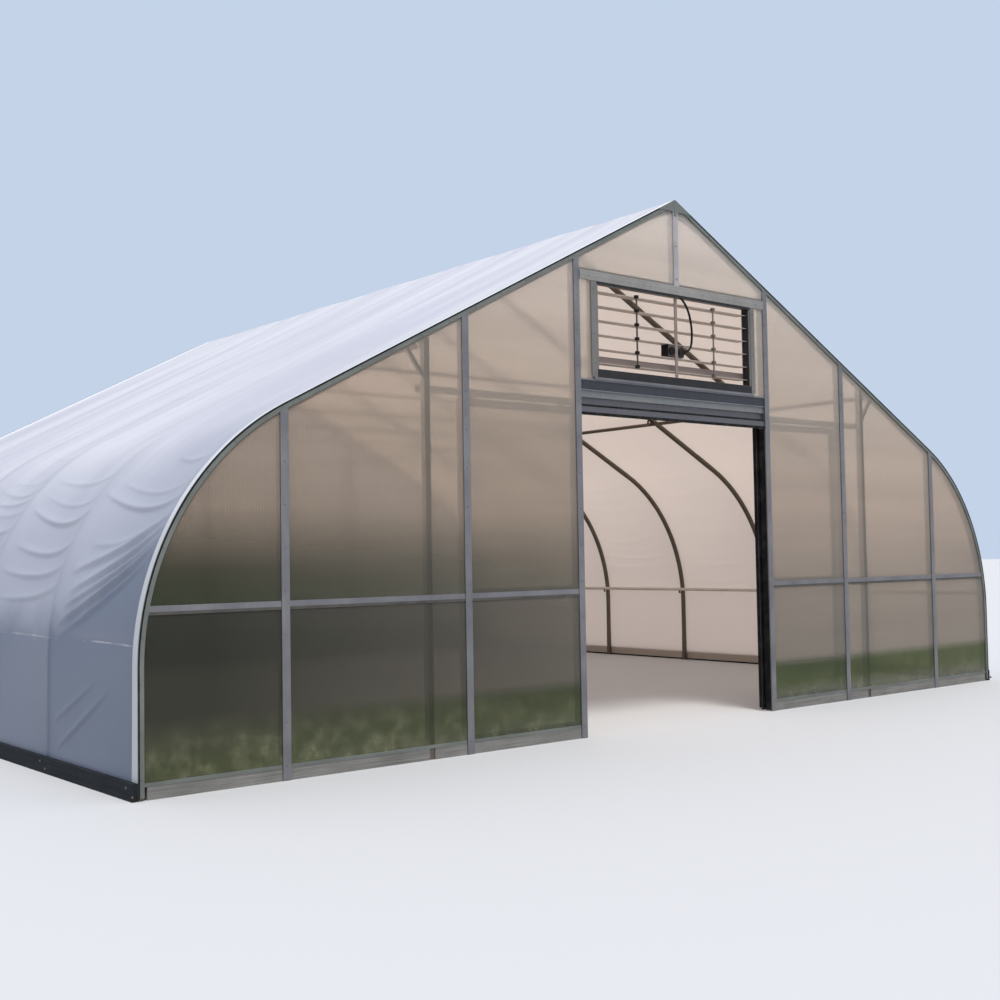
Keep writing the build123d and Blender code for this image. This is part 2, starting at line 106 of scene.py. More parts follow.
def zinc_skin(material, light, dark):
    """Colour, roughness and relief of hot-dip zinc: a faint mosaic of small crystals under chalky runs."""
    place = add_node(material, "TexCoord")
    spangle = add_node(material, "TexVoronoi", {"Vector": (place, "Object"), "Scale": 1 / spangle_size,
                                                "Randomness": 1.0}, feature="F1")
    runs = add_node(material, "TexNoise", {"Vector": (place, "Object"), "Scale": 1 / zinc_run_length,
                                           "Detail": 5.0, "Roughness": 0.6})
    crystal = add_node(material, "ValToRGB", {"Fac": (spangle, "Color")}, [(0.1, dark), (0.9, light)])
    chalk = add_node(material, "ValToRGB", {"Fac": (runs, "Fac")}, [(0.42, "#000000"), (0.72, "#FFFFFF")])
    colour = add_node(material, "Mix", {"Factor": (chalk, "Color"), 6: (crystal, "Color"), 7: linear(light)},
                      data_type="RGBA")
    rough = add_node(material, "MapRange", {"Value": (runs, "Fac"), "To Min": 0.38, "To Max": 0.62})
    bump = add_node(material, "Bump", {"Height": (runs, "Fac"), "Distance": 0.0006, "Strength": 0.5})
    return (colour, "Result"), (rough, "Result"), (bump, "Normal")


def galvanised_steel(name, light, dark):
    """Weathered zinc on steel: a matt, dull grey metal that hardly mirrors anything."""
    material = start_material(name)
    colour, rough, bump = zinc_skin(material, light, dark)
    skin = add_node(material, "BsdfPrincipled", {"Base Color": colour, "Metallic": zinc_metal,
                                                 "Roughness": rough, "Normal": bump})
    return finish_material(material, skin)


zinc_tube = galvanised_steel("galvanised_steel_tube", zinc_light, zinc_dark)
clothe(bow_names + ["cross_ties", "track_posts", "shutter_head_rail"], zinc_tube)

# Purlins and side rails
# The same zinc-coated tube along the tunnel. The two rails along the sides are wrapped in white self-adhesive
# tape, which keeps the hot tube off the film.
rail_line = 4.4


def taped_tube():
    """Zinc on the ridge and slope purlins, and matt off-white tape with a little soil on the side rails."""
    material = start_material("galvanised_purlin_tube")
    colour, rough, bump = zinc_skin(material, zinc_light, zinc_dark)
    place = add_node(material, "TexCoord")
    split = add_node(material, "SeparateXYZ", {"Vector": (place, "Object")})
    aside = add_node(material, "Math", {0: (split, "X")}, operation="ABSOLUTE")
    taped = add_node(material, "Math", {0: (aside, "Value"), 1: rail_line}, operation="GREATER_THAN")
    soil = add_node(material, "TexNoise", {"Vector": (place, "Object"), "Scale": 1 / zinc_run_length,
                                           "Detail": 5.0, "Roughness": 0.6})
    tape = add_node(material, "ValToRGB", {"Fac": (soil, "Fac")}, [(0.3, "#D8CFC4"), (0.7, "#E8E2DA")])
    shown = add_node(material, "Mix", {"Factor": (taped, "Value"), 6: colour, 7: (tape, "Color")},
                     data_type="RGBA")
    metal = add_node(material, "MapRange", {"Value": (taped, "Value"), "To Min": zinc_metal, "To Max": 0.0})
    skin = add_node(material, "BsdfPrincipled", {"Base Color": (shown, "Result"),
                                                 "Metallic": (metal, "Result"), "Roughness": rough,
                                                 "Normal": bump})
    return finish_material(material, skin)


clothe(["purlins"], taped_tube())

# The arch line
# Everything that follows the arch takes its places from this line, which is worked out from the frame's film
# solids: an upright leg, a bend and a straight rafter.
side_low, side_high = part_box("cover_side_right")
half_width = side_high.x
leg_top = side_high.z
film_foot = side_low.z
film_reach = side_high.y
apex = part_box("cover_slope_right")[1].z
bend_radius = 2.0
rafter_slope = math.radians(27.5)
rafter_rise = math.tan(rafter_slope)
bend_turn = math.pi / 2 - rafter_slope
bend_centre = half_width - bend_radius
leg_length = leg_top - film_foot
bend_end = leg_length + bend_radius * bend_turn
rafter_start = bend_centre + bend_radius * math.cos(bend_turn)
half_arch = bend_end + rafter_start / math.cos(rafter_slope)
bow_places = [sum(corner.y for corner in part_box(name)) / 2 for name in bow_names]
gable_plane = bow_places[-1]


def arch_place(distance, inset=0.0):
    """Place and outward direction on the right half of the arch, by distance up from the foot of the film."""
    distance = np.asarray(distance, float)
    turn = np.clip((distance - leg_length) / bend_radius, 0, bend_turn)
    past = np.clip(distance - bend_end, 0, None)
    out_x = np.cos(turn)
    out_z = np.sin(turn)
    x = bend_centre + bend_radius * out_x - past * math.cos(rafter_slope)
    z = leg_top + bend_radius * out_z + past * math.sin(rafter_slope)
    z = np.where(distance < leg_length, film_foot + distance, z)
    return x - inset * out_x, z - inset * out_z, out_x, out_z


def arch_point(distance, inset):
    """The same for one distance, as plain numbers."""
    return [float(value) for value in arch_place(distance, inset)]


def ridge_height(inset):
    """Height of the ridge line at an inset from the film."""
    return apex - inset / math.cos(rafter_slope)


def arch_height(x):
    """Height of the arch over a place across the tunnel."""
    x = abs(x)
    if x <= rafter_start:
        return apex - x * rafter_rise
    return leg_top + math.sqrt(max(bend_radius ** 2 - (x - bend_centre) ** 2, 0))


# Sleeves, straps and plates on the bows
# Pressed from galvanised flat: sleeves where the bow tubes join, a strap round each purlin under each bow,
# and bolted plates at the ridge and at the ends of the cross ties.
bow_radius = 0.030
bow_inset = 0.0343
sleeve_radius = 0.0316
sleeve_start = bend_end + 0.05
sleeve_length = 0.30
sleeve_sides = 20
leg_sleeve_foot = 0.002
leg_sleeve_top = 0.34
purlin_radius = 0.021
purlin_inset = 0.0856
rail_up_film = 0.9535
slope_purlin_x = 2.9
purlin_places = [rail_up_film, bend_end + (rafter_start - slope_purlin_x) / math.cos(rafter_slope)]
strap_width = 0.032
strap_thickness = 0.003
strap_gap = 0.0004
strap_reach = 0.046
strap_steps = 8
plate_gap = 0.0005
plate_thickness = 0.004
ridge_plate_half = 0.24
ridge_plate_edge = 0.02
ridge_plate_drop = 0.075


def mesh_object(name, points, faces, material):
    """A new object from points and faces, with one material."""
    mesh = bpy.data.meshes.new(name)
    mesh.from_pydata([tuple(p) for p in points], [], [tuple(f) for f in faces])
    mesh.validate()
    mesh.update()
    mesh.materials.append(material)
    made = bpy.data.objects.new(name, mesh)
    bpy.context.scene.collection.objects.link(made)
    return made


def joined(name, shapes, material, body):
    """One object from a list of (points, faces), on its body and in its material slot."""
    points = []
    faces = []
    for shape_points, shape_faces in shapes:
        start = len(points)
        points.extend(shape_points)
        faces.extend([tuple(start + index for index in face) for face in shape_faces])
    made = mesh_object(name, points, faces, material)
    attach(made, body)


def ring_sweep(rings):
    """Points and faces of a skin over rings of equal count, closed at both ends."""
    count = len(rings[0])
    points = [point for ring in rings for point in ring]
    faces = []
    for row in range(len(rings) - 1):
        for step in range(count):
            after = (step + 1) % count
            faces.append((row * count + step, row * count + after, (row + 1) * count + after,
                          (row + 1) * count + step))
    faces.append(tuple(reversed(range(count))))
    faces.append(tuple((len(rings) - 1) * count + step for step in range(count)))
    return points, faces


def circle(middle, along, across, radius, sides):
    """A ring of points round a line."""
    up = along.cross(across)
    turns = [2 * math.pi * step / sides for step in range(sides)]
    return [middle + radius * (math.cos(turn) * across + math.sin(turn) * up) for turn in turns]


def rod(start, end, radius, sides):
    """A round rod between two places."""
    start = Vector(start)
    end = Vector(end)
    along = (end - start).normalized()
    across = along.orthogonal().normalized()
    return ring_sweep([circle(place, along, across, radius, sides) for place in (start, end)])


def plank(corner, opposite):
    """A plain box between two opposite corners."""
    (x0, x1), (y0, y1), (z0, z1) = (sorted(pair) for pair in zip(corner, opposite))
    outline = [(x0, z0), (x1, z0), (x1, z1), (x0, z1)]
    return ring_sweep([[(x, y, z) for x, z in outline] for y in (y1, y0)])


def plate_pair(outline, y):
    """Two upright plates, one on each face of the bow at y, from their outline in x and z."""
    made = []
    for side in (-1, 1):
        face = y + side * (bow_radius + plate_gap)
        ends = sorted((face, face + side * plate_thickness))
        made.append(ring_sweep([[(x, end, z) for x, z in outline] for end in ends]))
    return made


def purlin_strap(x, z, out_x, out_z, y):
    """A strap under one purlin and up both its sides to the bow."""
    outline = []
    turns = [math.pi * step / strap_steps for step in range(strap_steps + 1)]
    for size in (purlin_radius + strap_gap, purlin_radius + strap_gap + strap_thickness):
        round_under = [(size * math.cos(turn), -size * math.sin(turn)) for turn in turns]
        outline.append([(size, strap_reach)] + round_under + [(-size, strap_reach)])
    count = len(outline[0])
    around = outline[0] + outline[1][::-1]
    places = [(x - a * out_z + b * out_x, z + a * out_x + b * out_z) for a, b in around]
    total = len(places)
    points = [(px, y + side * strap_width / 2, pz) for side in (-1, 1) for px, pz in places]
    faces = []
    for step in range(total):
        after = (step + 1) % total
        faces.append((step, after, total + after, total + step))
    for step in range(count - 1):
        opposite = total - 1 - step
        faces.append((step, opposite, opposite - 1, step + 1))
        faces.append((total + step, total + step + 1, total + opposite - 1, total + opposite))
    return points, faces


peak_z = ridge_height(bow_inset)
wing_z = peak_z - ridge_plate_half * rafter_rise
ridge_plate = [(ridge_plate_half, wing_z - ridge_plate_edge), (ridge_plate_half, wing_z + ridge_plate_edge),
               (0, peak_z + ridge_plate_edge), (-ridge_plate_half, wing_z + ridge_plate_edge),
               (-ridge_plate_half, wing_z - ridge_plate_edge), (0, peak_z - ridge_plate_drop)]
bow_fittings = []
for y in bow_places:
    for sign in (-1, 1):
        leg_x = sign * arch_point(0.0, bow_inset)[0]
        bow_fittings.append(rod((leg_x, y, leg_sleeve_foot), (leg_x, y, leg_sleeve_top), sleeve_radius,
                                sleeve_sides))
        x, z, _, _ = arch_point(sleeve_start, bow_inset)
        far_x, far_z, _, _ = arch_point(sleeve_start + sleeve_length, bow_inset)
        bow_fittings.append(rod((sign * x, y, z), (sign * far_x, y, far_z), sleeve_radius, sleeve_sides))
        for place in purlin_places:
            x, z, out_x, out_z = arch_point(place, purlin_inset)
            bow_fittings.append(purlin_strap(sign * x, z, sign * out_x, out_z, y))
    bow_fittings.append(purlin_strap(0.0, ridge_height(purlin_inset), 0.0, 1.0, y))
    bow_fittings += plate_pair(ridge_plate, y)
tie_low, tie_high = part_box("cross_ties")
tie_z = (tie_low.z + tie_high.z) / 2
tie_end = tie_high.x + 0.01
tie_plate = [(-0.13, 0.012), (-0.10, 0.012 + 0.10 * rafter_rise), (0.08, 0.012 - 0.04 * rafter_rise),
             (0.06, -0.03), (-0.12, -0.02)]
for y in bow_places[1:-1]:
    for sign in (-1, 1):
        bow_fittings += plate_pair([(sign * (tie_end + px), tie_z + pz) for px, pz in tie_plate], y)
joined("bow_fittings", bow_fittings, zinc_tube, "house")

# Ground boards
# Rough-sawn softwood planks, pressure treated and weathered, bolted to the legs along both sides and set
# between the posts under both gables. The side boards are drawn nearly black and bluish, far darker than the
# grey gable boards, with painted shade. Sawn grain shows as long pale and dark streaks, drawn 6 mm wide,
# coarser than real ones, to show.
grain_width = 0.006
grain_length = 0.5
grey_patch = 0.25


def weathered_timber(name, pale, dark, along):
    """Old sawn boards: long grain streaks, raised by the weather, with patches of grey."""
    material = start_material(name)
    place = add_node(material, "TexCoord")
    scale = [1 / grain_width] * 3
    scale[along] = 1 / grain_length
    drawn = add_node(material, "Mapping", {"Vector": (place, "Object"), "Scale": scale})
    grain = add_node(material, "TexNoise", {"Vector": (drawn, "Vector"), "Scale": 1.0, "Detail": 6.0,
                                            "Roughness": 0.65})
    patches = add_node(material, "TexNoise", {"Vector": (place, "Object"), "Scale": 1 / grey_patch,
                                              "Detail": 3.0})
    wood = add_node(material, "ValToRGB", {"Fac": (grain, "Fac")}, [(0.3, dark), (0.72, pale)])
    grey = add_node(material, "Mix", {"Factor": 0.5, 6: (wood, "Color"), 7: (patches, "Fac")},
                    data_type="RGBA", blend_type="MULTIPLY")
    bump = add_node(material, "Bump", {"Height": (grain, "Fac"), "Distance": 0.002, "Strength": 0.7})
    skin = add_node(material, "BsdfPrincipled", {"Base Color": (grey, "Result"), "Roughness": 0.85,
                                                 "Specular IOR Level": 0.2, "Normal": (bump, "Normal")})
    return finish_material(material, skin)


# Painted shade: the side boards are drawn nearly black and bluish.
clothe(["side_boards"], weathered_timber("weathered_softwood_side_painted_shade", "#343A42", "#16191D", 1))
clothe(["gable_boards"], weathered_timber("weathered_softwood_gable", "#A3A3A1", "#727270", 0))

# Coach bolts in the side boards
# Zinc-plated steel, with a washer under a low domed head. Two of them hold each board to each leg, one low
# and one high, driven from outside.
bolt_radius = 0.011
bolt_height = 0.008
bolt_inset = 0.034
bolt_aside = 0.05
board_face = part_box("side_boards")[1].x
board_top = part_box("side_boards")[1].z


def bolt_head(place, direction, radius, height, sides=8):
    """A washer with a low domed head on it, standing on a face."""
    place = Vector(place)
    direction = Vector(direction)
    across = direction.orthogonal().normalized()
    profile = ((1.0, 0.0), (1.0, 0.2), (0.66, 0.25), (0.6, 0.85), (0.32, 1.0))
    return ring_sweep([circle(place + direction * (rise * height), direction, across, radius * size, sides)
                       for size, rise in profile])


board_bolts = []
for y in bow_places:
    for sign in (-1, 1):
        for along, z in ((-bolt_aside, bolt_inset), (bolt_aside, board_top - bolt_inset)):
            board_bolts.append(bolt_head((sign * board_face, y + along, z), (sign, 0, 0), bolt_radius,
                                         bolt_height))
joined("board_bolts", board_bolts, zinc_tube, "house")

# Gable posts and strips
# Extruded aluminium, left as it came from the mill. Years outdoors leave a soft grey bloom on it. Its faint
# draw lines run along each bar, and are drawn 4 mm apart, coarser than real ones, to show.
draw_line = 0.004
draw_length = 0.5
bloom_size = 0.2857


def mill_aluminium(name, light, dark, rough_low, rough_high):
    """Weathered mill-finish extrusion: fine draw lines and a cloudy oxide bloom."""
    material = start_material(name)
    place = add_node(material, "TexCoord")
    drawn = add_node(material, "Mapping", {"Vector": (place, "Object"),
                                           "Scale": (1 / draw_line, 1 / draw_line, 1 / draw_length)})
    lines = add_node(material, "TexNoise", {"Vector": (drawn, "Vector"), "Scale": 1.0, "Detail": 2.0})
    bloom = add_node(material, "TexNoise", {"Vector": (place, "Object"), "Scale": 1 / bloom_size,
                                            "Detail": 6.0, "Roughness": 0.6})
    blend = add_node(material, "Mix", {"Factor": 0.7, 2: (lines, "Fac"), 3: (bloom, "Fac")},
                     data_type="FLOAT")
    colour = add_node(material, "ValToRGB", {"Fac": (blend, "Result")}, [(0.3, dark), (0.7, light)])
    rough = add_node(material, "MapRange", {"Value": (bloom, "Fac"), "To Min": rough_low,
                                            "To Max": rough_high})
    bump = add_node(material, "Bump", {"Height": (lines, "Fac"), "Distance": 0.0003, "Strength": 0.4})
    skin = add_node(material, "BsdfPrincipled", {"Base Color": (colour, "Color"), "Metallic": 0.8,
                                                 "Roughness": (rough, "Result"), "Normal": (bump, "Normal")})
    return finish_material(material, skin)


bright_bar = mill_aluminium("mill_aluminium", "#8F8F92", "#707074", 0.38, 0.58)
clothe(["mid_rails", "back_posts", "mullions_left", "mullions_right", "jamb_post_left", "jamb_post_right",
        "door_left_frame", "door_right_frame"], bright_bar)
clothe(["ridge_stud"], mill_aluminium("ridge_stud_aluminium", "#C0BCBE", "#A6A3A5", 0.45, 0.65))
dull_strip = mill_aluminium("weathered_edge_strip", "#8A8F8A", "#6C716D", 0.5, 0.7)
clothe(["edge_strips", "peak_plates"], dull_strip)

# Screws in the gable strips
# Self-drilling screws with washers, driven through every cover strip and round the whole edge strip. They are
# zinc plated and show as a row of small bright dots.
screw_radius = 0.0085
screw_height = 0.006
screw_pitch = 0.30
screw_foot = 0.10
screw_top = 0.12
rim_screw_inset = 0.024
rim_screw_foot = 0.12
rim_screw_top = half_arch - 0.2
trim_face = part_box("edge_strips")[1].y
jamb_low, jamb_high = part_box("jamb_post_right")
jamb_x = (jamb_low.x + jamb_high.x) / 2
strip_half = (jamb_high.x - jamb_low.x) / 2
inner_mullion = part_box("mullions_right")[0].x + strip_half
outer_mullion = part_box("mullions_right")[1].x - strip_half


def screw(x, y, z, outward, sides=6):
    """One screw head that faces out of a gable."""
    return bolt_head((x, y, z), (0, outward, 0), screw_radius, screw_height, sides)


def up_strip(x, outward, foot=0.0):
    """Screws up one cover strip."""
    made = []
    z = foot + screw_foot
    while z < arch_height(x) - screw_top:
        made.append(screw(x, outward * trim_face, z, outward))
        z += screw_pitch
    return made


strip_screws = up_strip(0.0, -1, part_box("ridge_stud")[0].z) + up_strip(0.0, 1)
for outward in (-1, 1):
    for sign in (-1, 1):
        for x in (jamb_x, inner_mullion, outer_mullion):
            strip_screws += up_strip(sign * x, outward)
        along = rim_screw_foot
        while along < rim_screw_top:
            x, z, _, _ = arch_point(along, rim_screw_inset)
            strip_screws.append(screw(sign * x, outward * trim_face, z, outward))
            along += screw_pitch
joined("strip_screws", strip_screws, bright_bar, "house")

# Painted shadow strips and end pieces of the gable
# A dark strip runs round the outer rim of the edge strips, under the folded edge of the film: a painted
# shadow of the film's edge. A grey strip along the foot of each mid rail is painted shade under the rail.
# Aluminium channel closes the lower edge of the sheets on the boards, and a short cap carries the middle post
# over the ridge.
skin_gap = 0.0003
dust_patch = 0.0833
strip_clearance = strip_half + 0.001
rim_shadow_insets = (0.0005, 0.011)
rim_shadow_faces = (trim_face - 0.001, trim_face + 0.0025)
rim_shadow_leg_points = 3
rim_shadow_bend_points = 25
sheet_edge = half_width - 0.01
rail_end = half_width - 0.045
rail_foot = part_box("mid_rails")[0].z
rail_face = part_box("mid_rails")[1].y
rail_shade_height = 0.020
channel_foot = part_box("gable_boards")[1].z + 0.0005
channel_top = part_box("gable_boards")[1].z + 0.026


def satin_finish(name, code, rough):
    """Rubber, moulded plastic, paint or a strip of painted shade, with a low sheen, dusted a little with soil.
    """
    material = start_material(name)
    place = add_node(material, "TexCoord")
    dust = add_node(material, "TexNoise", {"Vector": (place, "Object"), "Scale": 1 / dust_patch,
                                           "Detail": 5.0})
    colour = add_node(material, "ValToRGB", {"Fac": (dust, "Fac")}, [(0.45, code), (0.95, "#3A3937")])
    skin = add_node(material, "BsdfPrincipled", {"Base Color": (colour, "Color"), "Roughness": rough,
                                                 "Specular IOR Level": 0.12})
    return finish_material(material, skin)


def rim_shadow_strip(sign, outward):
    """The painted shadow strip that follows half the arch of one gable."""
    leg = np.linspace(0, leg_length, rim_shadow_leg_points)
    bend = np.linspace(leg_length, bend_end, rim_shadow_bend_points)[1:]
    inner, outer = rim_shadow_insets
    back, face = rim_shadow_faces
    rings = []
    for along in [*leg, *bend, half_arch]:
        ring = []
        for inset, depth in ((inner, back), (outer, back), (outer, face), (inner, face)):
            x, z, _, _ = arch_point(along, inset)
            if along == half_arch:
                x, z = 0.0, ridge_height(inset)
            ring.append((sign * x, outward * depth, z))
        rings.append(ring)
    return ring_sweep(rings)


# One black material for the real rubber parts and for the painted shadow strips.
black_rubber_and_painted_shade = satin_finish("black_rubber_and_painted_shade", "#141416", 0.6)
rim_shadow_strips = []
channels = []
rail_shade_strips = []
for outward in (-1, 1):
    for sign in (-1, 1):
        # Painted shadow: a black strip round the rim, under the film's edge.
        rim_shadow_strips.append(rim_shadow_strip(sign, outward))
        stretches = [(jamb_x, inner_mullion), (inner_mullion, outer_mullion), (outer_mullion, sheet_edge)]
        if outward > 0:
            stretches.append((0, jamb_x))
        for start, end in stretches:
            left = start + strip_clearance
            right = end - strip_clearance
            channels.append(plank((sign * left, outward * (film_reach - 0.002), channel_foot),
                                  (sign * right, outward * (film_reach + 0.0025), channel_top)))
            # Painted shade: a grey strip over the foot of each mid rail's face.
            if start > 0:
                rail_shade_strips.append(plank((sign * left, outward * (rail_face + skin_gap), rail_foot),
                                         (sign * min(right, rail_end), outward * (rail_face + 0.0015),
                                          rail_foot + rail_shade_height)))
    channels.append(plank((-0.016, outward * (trim_face + 0.0031), apex - 0.15),
                          (0.016, outward * (trim_face + 0.0055), apex - 0.028)))
joined("rim_painted_shadow", rim_shadow_strips, black_rubber_and_painted_shade, "house")
joined("rail_painted_shade", rail_shade_strips, satin_finish("grey_rail_painted_shade", "#565553", 0.6), "house")
joined("sheet_channels", channels, dull_strip, "house")

# Glazing sheets
# Twin-wall polycarbonate, extruded with fine flutes and clamped under the cover strips. The walls blur what
# is behind, yellow a little with age, and hold green algae and splashed soil near the ground. Their colour
# also carries painted light: a painted reflection of the dark ground and trees over the lower part, strongest
# towards the left side of the tunnel, and a painted reflection of grass as a green band near the foot, and
# the sheets are drawn darker towards the bottom. The flutes are drawn at twice their real 11 mm, to show.
flute_spacing = 0.022
streak_length = 2.857
streak_height = 0.20
algae_patch = 0.1429
grime_foot = 0.06
grime_height = 0.50
glazed_height = 4.7
dark_reflection_side = -4.6
grass_reflection_side = 1.2


def twin_wall_polycarbonate(name, milkiness, age):
    """Milky ribbed plastic that blurs what is behind. Its thin walls bend light little, so its IOR is low."""
    material = start_material(name)
    place = add_node(material, "TexCoord")
    split = add_node(material, "SeparateXYZ", {"Vector": (place, "Object")})
    level = add_node(material, "Math", {0: (split, "Z"), 1: glazed_height}, operation="DIVIDE")
    # Painted shade and a painted reflection of the dark ground and trees: dark and greenish up to about 1.5 m,
    # pale from about 1.9 m up.
    shade_and_ground_reflection = add_node(material, "ValToRGB", {"Fac": (level, "Value")},
                      [(0.02, "#7B8168"), (0.10, "#595B50"), (0.25, "#565850"), (0.265, "#5C6550"),
                       (0.31, "#6B6B5A"), (0.40, "#C0B3A5"), (0.60, "#D8CBBE"), (0.82, "#E6DED6"),
                       (1.0, "#F2EEE9")])
    # A painted reflection of grass as a green band from about 0.26 m to 0.40 m up; the rest is drawn darker
    # towards the bottom.
    grass_reflection_tone = add_node(material, "ValToRGB", {"Fac": (level, "Value")},
                     [(0.03, "#9C9F92"), (0.055, "#74815A"), (0.085, "#6E7C57"), (0.105, "#B6B1A8"),
                      (0.25, "#BDB6AD"), (0.40, "#D6CBC0"), (0.60, "#E0D7CD"), (0.82, "#EAE4DD"),
                      (1.0, "#F6F3F0")])
    # Across the tunnel the painted dark reflection gives way to the grass reflection from left to right, and
    # the algae thins out the same way.
    side = add_node(material, "MapRange", {"Value": (split, "X"), "From Min": dark_reflection_side,
                                           "From Max": grass_reflection_side})
    body = add_node(material, "Mix", {"Factor": (side, "Result"), 6: (shade_and_ground_reflection, "Color"), 7: (grass_reflection_tone, "Color")},
                    data_type="RGBA")
    drawn = add_node(material, "Mapping", {"Vector": (place, "Object"),
                                           "Scale": (1 / streak_length, 1 / streak_length,
                                                     1 / streak_height)})
    streaks = add_node(material, "TexNoise", {"Vector": (drawn, "Vector"), "Scale": 1.0, "Detail": 4.0})
    tone = add_node(material, "ValToRGB", {"Fac": (streaks, "Fac")}, [(0.35, "#F7F7F7"), (0.65, "#FFFFFF")])
    streaked = add_node(material, "Mix", {"Factor": 1.0, 6: (body, "Result"), 7: (tone, "Color")},
                        data_type="RGBA", blend_type="MULTIPLY")
    low = add_node(material, "MapRange", {"Value": (split, "Z"), "From Min": grime_foot,
                                          "From Max": grime_height, "To Min": 1.3, "To Max": 0.0})
    patches = add_node(material, "TexNoise", {"Vector": (place, "Object"), "Scale": 1 / algae_patch,
                                              "Detail": 4.0, "Roughness": 0.6})
    thick = add_node(material, "Math", {0: (low, "Result"), 1: (patches, "Fac")}, operation="MULTIPLY",
                     use_clamp=True)
    amount = add_node(material, "MapRange", {"Value": (side, "Result"), "To Min": 1.0, "To Max": 0.35})
    grime = add_node(material, "Math", {0: (thick, "Value"), 1: (amount, "Result")}, operation="MULTIPLY",
                     use_clamp=True)
    algae = add_node(material, "ValToRGB", {"Fac": (patches, "Fac")}, [(0.40, "#5D6E42"), (0.68, "#B4BA98")])
    dirty = add_node(material, "Mix", {"Factor": (grime, "Value"), 6: (streaked, "Result"),
                                       7: (algae, "Color")}, data_type="RGBA")
    colour = add_node(material, "Mix", {"Factor": age, 6: linear("#FBF9F6"), 7: (dirty, "Result")},
                      data_type="RGBA")
    flutes = add_node(material, "TexWave", {"Vector": (place, "Object"), "Distortion": 0.0,
                                            "Scale": math.pi / (10 * flute_spacing)},
                      wave_type="BANDS", bands_direction="X")
    bump = add_node(material, "Bump", {"Height": (flutes, "Fac"), "Distance": 0.0010, "Strength": 0.30})
    clear = add_node(material, "BsdfPrincipled", {"Base Color": (colour, "Result"), "Roughness": 0.17,
                                                  "IOR": 1.1, "Transmission Weight": 1.0,
                                                  "Normal": (bump, "Normal")})
    milky = add_node(material, "BsdfTranslucent", {"Color": (colour, "Result")})
    surface = add_node(material, "BsdfPrincipled", {"Base Color": (colour, "Result"), "Roughness": 0.26,
                                                    "Normal": (bump, "Normal")})
    scatter = add_node(material, "MixShader", {0: 0.66, 1: (milky, "BSDF"), 2: (surface, "BSDF")})
    sheet = add_node(material, "MixShader", {0: milkiness, 1: (clear, "BSDF"), 2: (scatter, "Shader")})
    return finish_material(material, sheet)


clothe(["front_sheets_left", "front_sheets_right", "upper_sheets", "back_sheets"],
       twin_wall_polycarbonate("twin_wall_polycarbonate", 0.40, 1.0))
clothe(["door_left_sheets", "door_right_sheets"], twin_wall_polycarbonate("door_polycarbonate", 0.15, 0.2))

# Door head and track
# Folded zinc-coated sheet, gone blue-grey and dull: the fascia under the shutter, the lintel and the slotted
# box track behind it. The fascia is drawn much darker, with painted shade. Black strips under and across the
# foot of the lintel and down the reveals of both door posts are painted shade.
# Painted shade: the fascia is drawn dark blue-grey.
clothe(["door_fascia"], galvanised_steel("fascia_zinc_painted_shade", "#484A51", "#3F4147"))
clothe(["door_lintel"], galvanised_steel("lintel_zinc_sheet", "#6E6C72", "#626067"))
clothe(["door_header"], galvanised_steel("header_zinc_tube", "#868989", "#787B7B"))
clothe(["door_track", "door_left_hangers", "door_right_hangers"],
       galvanised_steel("track_zinc_sheet", "#8F9298", "#74777D"))
reveal = jamb_x - strip_half
reveal_shade_thickness = 0.004
reveal_shade_foot = 0.012
lintel_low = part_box("door_lintel")[0]
fascia_low, fascia_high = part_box("door_fascia")
head_face = -film_reach - 0.0005
# Painted shadow: black strips under the lintel and as two lines across its front, where the undersides lie in
# shade.
lintel_shade_strips = ((0.001, 0.022, -0.011, -0.0005), (-0.0025, -skin_gap, -0.011, 0.012),
                (-0.0025, -skin_gap, 0.060, 0.076))
door_painted_shade = []
for near, far, foot, top in lintel_shade_strips:
    door_painted_shade.append(plank((-reveal, lintel_low.y + near, lintel_low.z + foot),
                            (reveal, lintel_low.y + far, lintel_low.z + top)))
# Painted shade: black strips down the reveals of both door posts.
for sign in (-1, 1):
    door_painted_shade.append(plank((sign * (reveal - reveal_shade_thickness), -film_reach + 0.004, reveal_shade_foot),
                            (sign * (reveal - skin_gap), -gable_plane + bow_radius, lintel_low.z - reveal_shade_foot)))
joined("door_painted_shade", door_painted_shade, black_rubber_and_painted_shade, "house")
head_beads = []
for front_y, foot, top in ((-film_reach - 0.006, fascia_high.z - 0.012, fascia_high.z + 0.002),
                           (-film_reach - 0.004, fascia_low.z - 0.004, fascia_low.z + 0.006)):
    head_beads.append(plank((-reveal + 0.001, front_y, foot), (reveal - 0.001, head_face, top)))
joined("door_head_beads", head_beads, bright_bar, "house")

# Louvre shutter
# A deep aluminium frame with six pressed blades, which stand open on pins with rubber collars. A folded strip
# closes the gable over it, and flanges and a lip hold it to the sheets.
shutter_metal = mill_aluminium("shutter_frame_aluminium", "#8C8A86", "#777572", 0.42, 0.6)
clothe(["shutter_frame"], shutter_metal)
clothe(["shutter_blades"], mill_aluminium("shutter_blade_aluminium", "#D9CEC5", "#C2B8AF", 0.5, 0.65))
shutter_low, shutter_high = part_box("shutter_frame")
blade_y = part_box("shutter_blades")[0].y
blade_count = 6
sill_rise = 0.092
head_drop = 0.055
opening_low = shutter_low.z + sill_rise
opening_high = shutter_high.z - head_drop
opening_half = 0.995
blade_pitch = (opening_high - opening_low) / blade_count
blade_levels = [opening_low + (number + 0.5) * blade_pitch for number in range(blade_count)]
front = shutter_low.y
face_y = front - skin_gap
lip_y = front - 0.004
lip_half = 1.05
lip_top = shutter_low.z + 0.020
lip_screw_x = 1.045
flange_inner = 1.014
flange_outer = {-1: 1.078, 1: 1.070}
flange_foot = shutter_low.z + 0.022
head_low = opening_high + 0.010
head_rise = 0.081
bead_y = -0.0075
